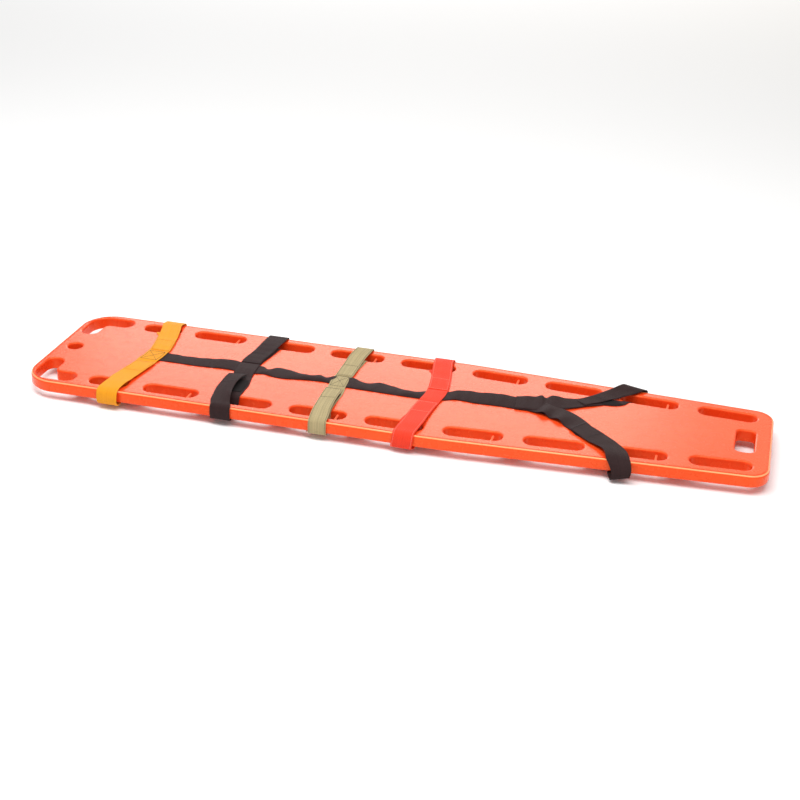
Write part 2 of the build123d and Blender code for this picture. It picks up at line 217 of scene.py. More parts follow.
def ribbon_object(name, ribbon, material, start=0.0, end=None, thickness=WEB, lift=0.0, margin=0.0):
    """A closed strip of the ribbon from start to end along it, drawn in by margin at its edges."""
    end = ribbon.length if end is None else end
    inside = [a for a in ribbon.along if start + SHORTEST_ROW < a < end - SHORTEST_ROW]
    stops = [start] + inside + [end]
    vertices, across_values, along_values = [], [], []
    for along in stops:
        half = ribbon.width_at(along) / 2
        rounding = min(0.5, thickness / 2 / half)
        ring = section_ring(FACES_ACROSS, rounding)
        reach = (half - margin) / half
        for side, height in ring:
            place = ribbon.at(along, side * reach, lift + height * thickness / 2)
            vertices.append(place)
            across_values.append(side * reach * half)
            along_values.append(along)
    around = len(ring)
    faces = []
    for row in range(len(stops) - 1):
        for k in range(around):
            a = row * around + k
            b = row * around + (k + 1) % around
            faces.append((a, b, b + around, a + around))
    faces.append(tuple(reversed(range(around))))
    faces.append(tuple((len(stops) - 1) * around + k for k in range(around)))
    values = {"across": across_values, "along": along_values}
    obj = make_object(name, vertices, faces, material, values)
    recalculate(obj)
    return obj


def recalculate(obj):
    """Turn all faces outward."""
    work = bmesh.new()
    work.from_mesh(obj.data)
    bmesh.ops.recalc_face_normals(work, faces=work.faces)
    work.to_mesh(obj.data)
    work.free()


def stitches(name, lines, material):
    """Rows of thread: each line is a list of points, and each stitch a small closed bead."""
    vertices, faces = [], []
    for line in lines:
        travelled = [0.0]
        for a, b in zip(line, line[1:]):
            travelled.append(travelled[-1] + (b - a).length)
        count = max(1, int(travelled[-1] / (STITCH + STITCH_GAP)))
        pitch = travelled[-1] / count
        for k in range(count):
            begin = point_along(line, travelled, k * pitch)
            finish = point_along(line, travelled, k * pitch + pitch - STITCH_GAP)
            add_bead(vertices, faces, begin, finish)
    return make_object(name, vertices, faces, material)


def point_along(line, travelled, distance):
    """The point at a distance along a line, where travelled is the distance at each of its points."""
    index = 0
    while index < len(line) - 2 and travelled[index + 1] < distance:
        index += 1
    span = travelled[index + 1] - travelled[index]
    share = (distance - travelled[index]) / span if span > 0 else 0.0
    return line[index].lerp(line[index + 1], share)


def add_bead(vertices, faces, begin, finish):
    """A spindle from begin to finish, thick in the middle, added to the vertices and faces."""
    axis = (finish - begin).normalized()
    side = axis.orthogonal().normalized()
    other = axis.cross(side)
    around = STITCH_SIDES
    first = len(vertices)
    for share, swell in STITCH_PROFILE:
        centre = begin.lerp(finish, share)
        for k in range(around):
            angle = 2 * math.pi * k / around
            spoke = side * math.cos(angle) + other * math.sin(angle)
            vertices.append(centre + spoke * THREAD * swell)
    last = len(STITCH_PROFILE) - 1
    for ring in range(last):
        for k in range(around):
            a = first + ring * around + k
            b = first + ring * around + (k + 1) % around
            faces.append((a, b, b + around, a + around))
    faces.append(tuple(first + k for k in reversed(range(around))))
    faces.append(tuple(first + last * around + k for k in range(around)))


# ---------------------------------------------------------------- material tools
# webbing: spacing of the ribs, how wide a herringbone's leg is, and spacing of the warp threads
RIB = 1.4 * MM
RIB_TURN = 3.0 * MM
WARP = 0.8 * MM
# scales of the fine fibres' noise and of the broad bands' noise, across and along the webbing
FIBRE_SCALES = (900.0, 14.0)
BAND_SCALES = (330.0, 3.0)
# the colour of scuffed plastic, and the tint of the plastic's gloss
SCUFF = (0.92, 0.30, 0.16)
BOARD_TINT = (1.0, 0.85, 0.40, 1.0)


class Nodes:
    """A short way to write a node tree."""

    def __init__(self, name):
        self.material = bpy.data.materials.new(name)
        self.material.use_nodes = True
        self.tree = self.material.node_tree
        self.shader = self.tree.nodes["Principled BSDF"]

    def add(self, kind, **settings):
        """A new node with these settings."""
        node = self.tree.nodes.new(kind)
        for key, value in settings.items():
            setattr(node, key, value)
        return node

    def link(self, source, target):
        self.tree.links.new(source, target)

    def place(self):
        """Where the point is on the object."""
        return self.add("ShaderNodeTexCoord").outputs["Object"]

    def value(self, name):
        """A number stored on the mesh."""
        return self.add("ShaderNodeAttribute", attribute_name=name).outputs["Fac"]

    def maths(self, operation, a, b=None):
        """A math node; a and b are numbers or sockets."""
        node = self.add("ShaderNodeMath", operation=operation)
        for socket, value in zip(node.inputs, (a, b)):
            if value is None:
                continue
            if isinstance(value, (int, float)):
                socket.default_value = value
            else:
                self.link(value, socket)
        return node.outputs[0]

    def noise(self, scale, detail=4.0, roughness=0.55, stretch=None):
        """Noise over the object, stretched along its axes if stretch is given."""
        node = self.add("ShaderNodeTexNoise")
        node.inputs["Scale"].default_value = scale
        node.inputs["Detail"].default_value = detail
        node.inputs["Roughness"].default_value = roughness
        place = self.place()
        if stretch:
            mapping = self.add("ShaderNodeMapping")
            mapping.inputs["Scale"].default_value = stretch
            self.link(place, mapping.inputs["Vector"])
            place = mapping.outputs["Vector"]
        self.link(place, node.inputs["Vector"])
        return node.outputs["Fac"]

    def ramp(self, factor, stops):
        """Colours along a factor; each stop is a position and its colour."""
        node = self.add("ShaderNodeValToRGB")
        elements = node.color_ramp.elements
        while len(elements) < len(stops):
            elements.new(0.5)
        for element, (position, colour) in zip(elements, stops):
            element.position = position
            element.color = (*colour, 1.0)
        self.link(factor, node.inputs["Fac"])
        return node.outputs["Color"]

    def mix(self, factor, a, b, blend="MIX"):
        """Two colours mixed; each value is a number, a colour or a socket."""
        node = self.add("ShaderNodeMix", data_type="RGBA", blend_type=blend)
        for index, value in ((0, factor), (6, a), (7, b)):
            if isinstance(value, tuple):
                node.inputs[index].default_value = (*value, 1.0)
            elif isinstance(value, (int, float)):
                node.inputs[index].default_value = value
            else:
                self.link(value, node.inputs[index])
        return node.outputs[2]

    def bump(self, height, distance, strength=1.0, under=None):
        """A normal bent by a height, over the normal given as under."""
        node = self.add("ShaderNodeBump")
        node.inputs["Strength"].default_value = strength
        node.inputs["Distance"].default_value = distance
        self.link(height, node.inputs["Height"])
        if under is not None:
            self.link(under, node.inputs["Normal"])
        return node.outputs["Normal"]


def board_plastic(name, gloss, dull, bright):
    """Moulded polyethylene: satin orange with a fine orange-peel skin and light scuffs."""
    n = Nodes(name)
    colour = n.ramp(n.noise(3.0, 3.0), [(0.3, dull), (0.7, bright)])
    scuff = n.noise(26.0, 8.0, 0.7, (1.0, 9.0, 9.0))
    scuff_mask = n.ramp(scuff, [(0.62, (0, 0, 0)), (0.72, (1, 1, 1))])
    patch = n.ramp(n.noise(5.0, 2.0), [(0.45, (0, 0, 0)), (0.65, (1, 1, 1))])
    wear = n.mix(1.0, scuff_mask, patch, "MULTIPLY")
    wear_amount = n.maths("MULTIPLY", wear, 0.18)
    n.link(n.mix(wear_amount, colour, SCUFF), n.shader.inputs["Base Color"])
    rough = n.maths("MULTIPLY_ADD", n.noise(40.0, 3.0), 0.10)
    rough.node.inputs[2].default_value = 0.22 - gloss
    n.link(n.maths("ADD", rough, n.maths("MULTIPLY", wear, 0.12)), n.shader.inputs["Roughness"])
    peel = n.bump(n.noise(420.0, 2.0), 0.10 * MM, 0.5)
    n.link(n.bump(n.noise(9.0, 1.0), 1.2 * MM, 0.35, peel), n.shader.inputs["Normal"])
    n.shader.inputs["Specular IOR Level"].default_value = 0.5
    n.shader.inputs["Specular Tint"].default_value = BOARD_TINT
    return n.material


def pin_plastic_painted_light():
    """The pins' plastic: the board's orange painted a little paler, as painted light that the pins catch
    from above.
    """
    n = Nodes("pin_plastic_painted_light")
    grain = n.noise(60.0, 3.0)
    # paler than the board's orange: painted light on the pins
    colour = n.ramp(grain, [(0.3, (0.86, 0.12, 0.04)), (0.7, (0.93, 0.19, 0.08))])
    n.link(colour, n.shader.inputs["Base Color"])
    n.link(n.maths("MULTIPLY_ADD", grain, 0.15), n.shader.inputs["Roughness"])
    n.link(n.bump(n.noise(700.0, 2.0), 0.05 * MM, 0.5), n.shader.inputs["Normal"])
    return n.material


def foam():
    """Pale yellow foam with small cells."""
    n = Nodes("foam")
    cells = n.add("ShaderNodeTexVoronoi")
    cells.inputs["Scale"].default_value = 500.0
    n.link(n.place(), cells.inputs["Vector"])
    colour = n.ramp(cells.outputs["Distance"], [(0.0, (0.62, 0.50, 0.26)), (0.6, (0.90, 0.82, 0.58))])
    n.link(colour, n.shader.inputs["Base Color"])
    n.link(n.bump(cells.outputs["Distance"], 0.4 * MM), n.shader.inputs["Normal"])
    n.shader.inputs["Roughness"].default_value = 0.95
    return n.material


def stretched_noise(n, across, along, scales, detail):
    """Noise drawn out along the webbing; scales are across it and along it."""
    place = n.add("ShaderNodeCombineXYZ")
    n.link(n.maths("MULTIPLY", across, scales[0]), place.inputs["X"])
    n.link(n.maths("MULTIPLY", along, scales[1]), place.inputs["Y"])
    node = n.add("ShaderNodeTexNoise")
    node.inputs["Scale"].default_value = 1.0
    node.inputs["Detail"].default_value = detail
    n.link(place.outputs["Vector"], node.inputs["Vector"])
    return node.outputs["Fac"]


def webbing(name, dark, light, roughness, sheen=0.05, streak=0.35, band=0.15):
    """Woven strap: a herringbone of fine ribs, with streaks and broad bands along the warp."""
    n = Nodes(name)
    across = n.value("across")
    along = n.value("along")
    slanted = n.maths("ADD", along, n.maths("PINGPONG", across, RIB_TURN))
    ribs = n.maths("SINE", n.maths("MULTIPLY", slanted, 2 * math.pi / RIB))
    warp = n.maths("SINE", n.maths("MULTIPLY", across, 2 * math.pi / WARP))
    weave = n.maths("ADD", n.maths("MULTIPLY", ribs, 0.35), n.maths("MULTIPLY", warp, 0.15))
    height = n.maths("ADD", weave, 0.5)
    fibres = stretched_noise(n, across, along, FIBRE_SCALES, 3.0)
    shade = n.maths("ADD", n.maths("MULTIPLY", height, 1 - streak), n.maths("MULTIPLY", fibres, streak))
    bands = stretched_noise(n, across, along, BAND_SCALES, 1.0)
    shade = n.maths("ADD", shade, n.maths("MULTIPLY", n.maths("SUBTRACT", bands, 0.5), band * 4))
    soil = n.noise(14.0, 4.0)
    base = n.ramp(shade, [(0.15, dark), (0.8, light)])
    n.link(n.mix(n.maths("MULTIPLY", soil, 0.25), base, dark), n.shader.inputs["Base Color"])
    n.shader.inputs["Roughness"].default_value = roughness
    n.shader.inputs["Sheen Weight"].default_value = sheen
    n.shader.inputs["Sheen Roughness"].default_value = 0.4
    n.shader.inputs["Specular IOR Level"].default_value = 0.12
    n.link(n.bump(height, 0.25 * MM, 0.8), n.shader.inputs["Normal"])
    return n.material


def tape_material(name, colour, scale):
    """Hook or loop tape: a dense nap of tiny tufts."""
    n = Nodes(name)
    tuft = n.add("ShaderNodeTexVoronoi")
    tuft.inputs["Scale"].default_value = scale
    n.link(n.place(), tuft.inputs["Vector"])
    bright = tuple(min(1.0, c * 2.4) for c in colour)
    n.link(n.ramp(tuft.outputs["Distance"], [(0.1, bright), (0.7, colour)]), n.shader.inputs["Base Color"])
    n.link(n.bump(tuft.outputs["Distance"], -0.4 * MM), n.shader.inputs["Normal"])
    n.shader.inputs["Roughness"].default_value = 0.9
    n.shader.inputs["Specular IOR Level"].default_value = 0.1
    return n.material


def thread(name, colour):
    """Twisted sewing thread."""
    n = Nodes(name)
    twist = n.noise(2500.0, 2.0)
    dim = tuple(c * 0.6 for c in colour)
    n.link(n.ramp(twist, [(0.35, dim), (0.65, colour)]), n.shader.inputs["Base Color"])
    n.link(n.bump(twist, 0.1 * MM), n.shader.inputs["Normal"])
    n.shader.inputs["Roughness"].default_value = 0.6
    return n.material


def floor_paper():
    """The stage's plain pale floor."""
    n = Nodes("floor_paper")
    colour = n.ramp(n.noise(300.0, 2.0), [(0.3, (0.93, 0.93, 0.93)), (0.7, (0.96, 0.96, 0.96))])
    n.link(colour, n.shader.inputs["Base Color"])
    n.shader.inputs["Roughness"].default_value = 0.9
    return n.material


MATERIALS = {
    "board": board_plastic("board_plastic", 0.0, (0.82, 0.052, 0.007), (0.88, 0.070, 0.012)),
    # the rim bead's paler plastic is a painted highlight line along the rim
    "bead": board_plastic("board_bead_painted_highlight", 0.10, (0.90, 0.30, 0.12), (0.94, 0.38, 0.17)),
    "pin": pin_plastic_painted_light(),
    "foam": foam(),
    "webbing_black": webbing(
        "webbing_black", (0.013, 0.006, 0.006), (0.042, 0.019, 0.019), 0.62, sheen=0.02,
    ),
    "webbing_yellow": webbing("webbing_yellow", (0.65, 0.22, 0.007), (0.89, 0.38, 0.018), 0.55),
    "webbing_khaki": webbing(
        "webbing_khaki", (0.24, 0.195, 0.10), (0.54, 0.435, 0.235), 0.75, streak=0.6, band=0.20,
    ),
    "webbing_red": webbing("webbing_red", (0.66, 0.026, 0.011), (0.92, 0.068, 0.028), 0.6),
    "hook": tape_material("hook_tape", (0.010, 0.009, 0.009), 900.0),
    "loop": tape_material("loop_tape", (0.012, 0.010, 0.010), 600.0),
    "thread_dark": thread("thread_dark", (0.022, 0.014, 0.009)),
    "thread_black": thread("thread_black", (0.03, 0.03, 0.03)),
    "thread_khaki": thread("thread_khaki", (0.07, 0.055, 0.025)),
    "thread_yellow": thread("thread_yellow", (0.62, 0.24, 0.02)),
    "thread_red": thread("thread_red", (0.98, 0.32, 0.24)),
    "floor": floor_paper(),
}


def dress_cad_nodes():
    """The board, its pins and its foam keep their CAD shape, with their own materials."""
    dressed = {"board_shell": "board", "foam_core": "foam"}
    for name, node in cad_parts.items():
        key = "pin" if name.startswith("clip_pin") else dressed.get(name)
        if key:
            node.data.materials.clear()
            node.data.materials.append(MATERIALS[key])


dress_cad_nodes()


# ---------------------------------------------------------------- the straps
# the board's outline, in mm
HALF_HEAD = 215.0
TAPER_FROM = 150.0
TAPER_SLOPE = 0.0591
TOP = DECK / MM

# distances from the board's centre line between which a cross strap bends to follow its loop, in mm
LOOP_BEND = (75, 138)
# how far inside the rail's edge a tail starts and ends bending, and how much higher it ends, in mm
TAIL_BEND = (1, 22, 8)
# where the shoulder strap bends to follow its loops: x and distance from the centre line, in metres
SHOULDER_BEND = ((0.500, 0.075), (0.572, 0.113))
SHOULDER_LOOP_X = 0.577

# where the tapes lie: the loop tape of a cross strap between two distances from the centre line, in
# mm, that of the shoulder strap from its lower layer's start, and the hook tape from the tail's end
LOOP_NAP = (62, 128)
SHOULDER_LOOP_NAP = (2 * MM, 46 * MM)
HOOK_NAP = (76 * MM, 24 * MM)
NAP_MARGIN = 4 * MM
NAP_LIFT = WEB / 2 + TAPE / 2

# rows of stitches: distances from the tail's end, and shares of half the width
TAIL_SEAMS = (4 * MM, 60 * MM)
EDGE_SEAM_END = 62 * MM
SEAM_REACH = 0.86
BOX_REACH = 0.80

# heights of the layers' middles over the deck, in mm
LAY_Z = 1.05
HUMP_Z = 3.3
TAIL_Z = 5.0
END_Z = 3.2


def rim(x):
    """Half the board's width at x, in mm."""
    return HALF_HEAD - TAPER_SLOPE * max(0.0, x - TAPER_FROM)


def flat_row(side, y, x, width, z, left_lift=0.0, right_lift=0.0, crown=0.0):
    """A row straight across a strap that runs along Y; the lifts raise its edges."""
    return (
        (x - width / 2, side * y, TOP + z + left_lift),
        (x + width / 2, side * y, TOP + z + right_lift),
        crown,
    )


def under_rows(side, deck_rows, x, width, low, edge):
    """The lower layer: over the deck, down the slot and in under the rail."""
    rows = [flat_row(side, *row) for row in deck_rows]
    path = (
        (edge - 74, LAY_Z),
        (edge - 66, -1.5),
        (edge - 60, -10.0),
        (edge - 52, -24.0),
        (edge - 42, -35.0),
        (edge - 30, -low + 1.0),
        (edge - 17, -low - 0.4),
        (edge - 5, -low - 0.2),
    )
    return rows + [flat_row(side, y, x, width, z) for y, z in path]


def over_rows(side, x, width, low, edge, bulge, sag, tail_rows, twist=0.0, lean=0.0):
    """The upper layer: out from under the rail, up over its edge and back as the free tail."""
    path = (
        (edge - 5, -low - 0.2, 0.0),
        (edge + bulge * 0.35, -low + 0.8, 0.3),
        (edge + bulge * 0.85, -low + 7.0, 0.6),
        (edge + bulge, -20.0, 1.0),
        (edge + bulge * 0.8, -7.0, 0.7),
        (edge + bulge * 0.35, 1.0, 0.4),
        (edge - 4, TAIL_Z - 0.4, 0.1),
    )
    rows = []
    for y, z, share in path:
        depth = max(0.0, min(1.0, (-z - 5) / 25)) if y > edge else 0.0
        drop = sag * depth
        shift = x - lean * depth
        rows.append((
            (shift - width / 2 - twist * share * 0.4, side * (y - twist * share * 0.5), TOP + z - drop),
            (shift + width / 2, side * (y + twist * share * 0.5), TOP + z - drop * 1.3),
            0.4 * share,
        ))
    return rows + [flat_row(side, *row) for row in tail_rows]


def finish_piece(obj, body=None, bend=None, replaced=()):
    """Ride on a body, or, where bend is given, stay in place with its transform baked, and stand in for
    the replaced CAD nodes.
    """
    if bend:
        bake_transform(obj)
    else:
        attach(obj, body)
    if replaced:
        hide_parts(*replaced)


def cross_line(ribbon, along, reach=SEAM_REACH):
    """Points straight across the ribbon."""
    steps = 12
    return [ribbon.at(along, -reach + 2 * reach * k / steps, STITCH_LIFT) for k in range(steps + 1)]


def long_line(ribbon, start, end, side):
    """Points along the ribbon, about 5 mm apart."""
    steps = max(2, int((end - start) / (5 * MM)))
    return [
        ribbon.at(start + (end - start) * k / steps, side, STITCH_LIFT) for k in range(steps + 1)
    ]


def diagonal(ribbon, start, end, side_a, side_b):
    """Points from one side of the ribbon to the other."""
    steps = 10
    return [
        ribbon.at(
            start + (end - start) * k / steps, side_a + (side_b - side_a) * k / steps, STITCH_LIFT,
        )
        for k in range(steps + 1)
    ]


def box_stitch(ribbon, start, end):
    """A sewn box with a cross in it."""
    return [
        cross_line(ribbon, start, BOX_REACH),
        cross_line(ribbon, end, BOX_REACH),
        long_line(ribbon, start, end, -BOX_REACH),
        long_line(ribbon, start, end, BOX_REACH),
        diagonal(ribbon, start, end, -BOX_REACH, BOX_REACH),
        diagonal(ribbon, start, end, BOX_REACH, -BOX_REACH),
    ]


def tail_bend(base, x, side):
    """How a strap end bends from its loop to its tail, over the rail's edge; x in metres."""
    edge = rim(x / MM)
    start, end, rise = TAIL_BEND
    return (
        f"{base}_loop", f"{base}_end",
        (x, side * (edge - start) * MM, DECK), (x, side * (edge - end) * MM, DECK + rise * MM),
    )


def make_strap_end(base, web, lower, upper, inner, outer, loop_nap):
    """The two layers of a strap end, with their tapes."""
    obj = ribbon_object(f"{base}_under_web", lower, MATERIALS[web])
    finish_piece(obj, bend=inner, replaced=[f"{base}_rail_loop"])
    nap = ribbon_object(
        f"{base}_loop_nap", lower, MATERIALS["loop"], *loop_nap, TAPE, NAP_LIFT, NAP_MARGIN,
    )
    finish_piece(nap, bend=inner, replaced=[f"{base}_loop_tape"])
    obj = ribbon_object(f"{base}_over_web", upper, MATERIALS[web])
    finish_piece(obj, bend=outer, replaced=[f"{base}_tail", f"{base}_rail_loop"])
    start, end = (upper.length - distance for distance in HOOK_NAP)
    nap = ribbon_object(
        f"{base}_hook_nap", upper, MATERIALS["hook"], start, end, TAPE, -NAP_LIFT, NAP_MARGIN,
    )
    finish_piece(nap, f"{base}_end", replaced=[f"{base}_hook_tape"])


class Strap:
    """One cross strap of the harness, in the pieces that its joints cut it into."""

    def __init__(
        self, name, web, width, seed, thread_key, cross, sides,
        box=None, edge_rows=False, tail_thread=None,
    ):
        self.name = name
        self.web = web
        self.width = width
        self.seed = seed
        self.thread_key = thread_key
        self.edge_rows = edge_rows
        self.tail_thread = tail_thread or thread_key
        self.make_cross(cross, box)
        for side, spec in sides.items():
            self.make_side(side, **spec)

    def make_cross(self, rows, box):
        """The sewn middle, with a box of stitches between two shares of its length if box is given."""
        ribbon = Ribbon([flat_row(1, *row) for row in rows], seed=self.seed)
        obj = ribbon_object(f"{self.name}_cross_web", ribbon, MATERIALS[self.web])
        finish_piece(obj, "root", replaced=[f"{self.name}_cross_strap"])
        if box:
            lines = box_stitch(ribbon, ribbon.length * box[0], ribbon.length * box[1])
            sewn = stitches(f"{self.name}_cross_stitch", lines, MATERIALS[self.thread_key])
            finish_piece(sewn, "root")

    def make_side(
        self, side, x, under, tail, low=33.0, bulge=5.0, sag=0.0, twist=0.0, lean=0.0, under_shift=0.0,
    ):
        """One end of the strap: x is its place on the rail, and low how far under the deck it goes."""
        base = f"{self.name}_{'near' if side < 0 else 'far'}"
        edge = rim(x)
        lower = Ribbon(
            under_rows(side, under, x + under_shift, self.width, low, edge), seed=self.seed + 1 + side,
        )
        upper = Ribbon(
            over_rows(side, x, self.width, low, edge, bulge, sag, tail, twist, lean),
            up=(0, 0, -1), seed=self.seed + 11 + side,
        )
        inner = ("root", f"{base}_loop", *((x * MM, side * y * MM, DECK) for y in LOOP_BEND))
        outer = tail_bend(base, x * MM, side)
        loop_nap = [lower.near_y(y) for y in LOOP_NAP]
        make_strap_end(base, self.web, lower, upper, inner, outer, loop_nap)
        self.make_tail_stitch(upper, base, outer)

    def make_tail_stitch(self, upper, base, outer):
        """A box of stitches over the hook tape, and rows along the edges where the strap has them."""
        end, start = (upper.length - distance for distance in TAIL_SEAMS)
        lines = [
            cross_line(upper, end),
            cross_line(upper, start),
            long_line(upper, start, end, -SEAM_REACH),
            long_line(upper, start, end, SEAM_REACH),
        ]
        sewn = stitches(f"{base}_tail_stitch", lines, MATERIALS[self.tail_thread])
        finish_piece(sewn, f"{base}_end")
        if self.edge_rows:
            lines = [
                long_line(upper, 0.0, upper.length - EDGE_SEAM_END, reach)
                for reach in (-SEAM_REACH, SEAM_REACH)
            ]
            sewn = stitches(f"{base}_edge_stitch", lines, MATERIALS[self.thread_key])
            finish_piece(sewn, bend=outer)


# rows are (distance from the centre line, x, width, height, left lift, right lift, crown), in mm
Strap(
    "yellow", "webbing_yellow", 54, 10, "thread_dark",
    cross=[
        (-62, -662, 54, LAY_Z), (-40, -658, 54, LAY_Z + 0.3), (-27, -655, 54, HUMP_Z, 0.5, 0),
        (0, -651, 54, HUMP_Z + 0.5, 0, 0, 0.8), (27, -650, 54, HUMP_Z), (40, -650, 54, LAY_Z + 0.3),
        (62, -652, 54, LAY_Z),
    ],
    sides={
        -1: dict(
            x=-678, low=36, bulge=10, sag=1.0, twist=3.0,
            under=[(62, -662, 54, LAY_Z), (85, -667, 54, LAY_Z), (110, -672, 54, LAY_Z)],
            tail=[
                (190, -676, 54, TAIL_Z + 1.0, 0, 1.5), (160, -672, 54, TAIL_Z + 1.2, 0, 1.0),
                (120, -667, 54, TAIL_Z), (80, -661, 54, TAIL_Z), (56, -657, 54, TAIL_Z - 0.6),
                (38, -655, 54, END_Z),
            ],
        ),
        1: dict(
            x=-678, low=36, bulge=8, sag=0.0,
            under=[
                (62, -652, 54, LAY_Z), (85, -656, 54, LAY_Z), (110, -661, 54, LAY_Z),
                (127, -667, 54, LAY_Z),
            ],
            tail=[
                (190, -679, 54, TAIL_Z + 2.0, 0, 1.0), (160, -671, 54, TAIL_Z + 2.0),
                (120, -662, 54, TAIL_Z), (80, -655, 54, TAIL_Z), (54, -651, 54, TAIL_Z - 0.6),
                (35, -649, 54, END_Z),
            ],
        ),
    },
    box=(0.30, 0.70),
    tail_thread="thread_yellow",
)
Strap(
    "black", "webbing_black", 52, 30, "thread_black",
    cross=[
        (-62, -386, 52, LAY_Z), (-40, -390, 52, LAY_Z + 0.3), (-27, -392, 52, HUMP_Z),
        (0, -394, 52, HUMP_Z + 0.6, 0, 0, 1.0), (27, -395, 52, HUMP_Z), (40, -395, 52, LAY_Z + 0.3),
        (62, -393, 52, LAY_Z),
    ],
    sides={
        -1: dict(
            x=-382, low=33, bulge=4,
            under=[(62, -386, 52, LAY_Z), (85, -382, 52, LAY_Z), (110, -382, 52, LAY_Z)],
            tail=[
                (192, -390, 50, TAIL_Z + 1, 0, 1.5), (165, -396, 48, TAIL_Z + 1, 0, 8),
                (130, -402, 47, TAIL_Z + 1, 0, 10.5, 0.6), (95, -404, 47, TAIL_Z, 0, 11.5, 0.6),
                (62, -404, 49, TAIL_Z - 0.4, 0, 9), (37, -403, 50, END_Z, 0, 4),
            ],
        ),
        1: dict(
            x=-380, low=33, bulge=4,
            under=[(62, -393, 52, LAY_Z), (85, -388, 52, LAY_Z), (110, -384, 52, LAY_Z)],
            tail=[
                (190, -380, 54, TAIL_Z + 2), (150, -383, 53, TAIL_Z + 2, 0, 1),
                (110, -387, 52, TAIL_Z), (75, -392, 52, TAIL_Z), (54, -395, 52, TAIL_Z - 0.6),
                (36, -396, 52, END_Z),
            ],
        ),
    },
)
Strap(
    "khaki", "webbing_khaki", 45, 50, "thread_khaki",
    cross=[
        (-62, -140, 45, LAY_Z), (-40, -142, 45, LAY_Z + 0.3), (-27, -144, 45, HUMP_Z),
        (0, -146, 45, HUMP_Z + 0.6, 0, 0, 0.6), (27, -147, 45, HUMP_Z), (40, -146, 45, LAY_Z + 0.3),
        (62, -145, 45, LAY_Z),
    ],
    sides={
        -1: dict(
            x=-134, low=33, bulge=4, under_shift=-8.0,
            under=[(62, -140, 45, LAY_Z), (85, -141, 45, LAY_Z), (110, -142, 45, LAY_Z)],
            tail=[
                (192, -136, 46, TAIL_Z + 1), (160, -140, 46, TAIL_Z + 1, 0, 4),
                (120, -143, 45, TAIL_Z, 0, 5), (80, -145, 45, TAIL_Z, 0, 3),
                (54, -146, 45, TAIL_Z - 0.6), (37, -147, 45, END_Z),
            ],
        ),
        1: dict(
            x=-139, low=33, bulge=4,
            under=[(62, -145, 45, LAY_Z), (85, -144, 45, LAY_Z), (110, -141, 45, LAY_Z)],
            tail=[
                (190, -140, 47, TAIL_Z + 2), (150, -143, 46, TAIL_Z + 2), (110, -144, 45, TAIL_Z),
                (70, -144, 45, TAIL_Z), (54, -144, 45, TAIL_Z - 0.6), (37, -145, 45, END_Z),
            ],
        ),
    },
    box=(0.30, 0.76),
    edge_rows=True,
)
Strap(
    "red", "webbing_red", 52, 70, "thread_red",
    cross=[
        (-62, 92, 52, LAY_Z), (-40, 95, 52, LAY_Z + 0.3), (-27, 97, 52, HUMP_Z),
        (0, 101, 52, HUMP_Z + 0.6, 0, 0, 0.6), (27, 102, 52, HUMP_Z), (40, 101, 52, LAY_Z + 0.3),
        (62, 98, 52, LAY_Z),
    ],
    sides={
        -1: dict(
            x=79, low=35, bulge=6, sag=1.0, twist=2.0, lean=4.0,
            under=[(62, 92, 52, LAY_Z), (85, 90, 52, LAY_Z), (110, 87, 52, LAY_Z)],
            tail=[
                (192, 81, 53, TAIL_Z + 1), (160, 86, 55, TAIL_Z + 1.5, 0, 3),
                (120, 88, 53, TAIL_Z, 0, 2), (80, 91, 52, TAIL_Z), (54, 94, 52, TAIL_Z - 0.6),
                (37, 96, 52, END_Z),
            ],
        ),
        1: dict(
            x=78, low=33, bulge=4,
            under=[(62, 98, 52, LAY_Z), (85, 96, 52, LAY_Z), (110, 92, 52, LAY_Z), (127, 87, 52, LAY_Z)],
            tail=[
                (190, 79, 51, TAIL_Z + 3.5), (150, 85, 52, TAIL_Z + 2.5), (110, 92, 52, TAIL_Z),
                (70, 98, 52, TAIL_Z), (54, 100, 52, TAIL_Z - 0.5), (33, 102, 52, END_Z + 0.3),
            ],
        ),
    },
    edge_rows=True,
)


def free_row(xl, yl, zl, xr, yr, zr, crown=0.0):
    """A row from its left edge's x, y and height over the deck and its right edge's, in mm."""
    return ((xl, yl, TOP + zl), (xr, yr, TOP + zr), crown)


def spine_row(x, low_y, high_y, low_z=0.0, high_z=0.0, crown=0.0):
    """A row across the spine strap; the near edge is its left one."""
    return free_row(x, high_y, LAY_Z + high_z, x, low_y, LAY_Z + low_z, crown)


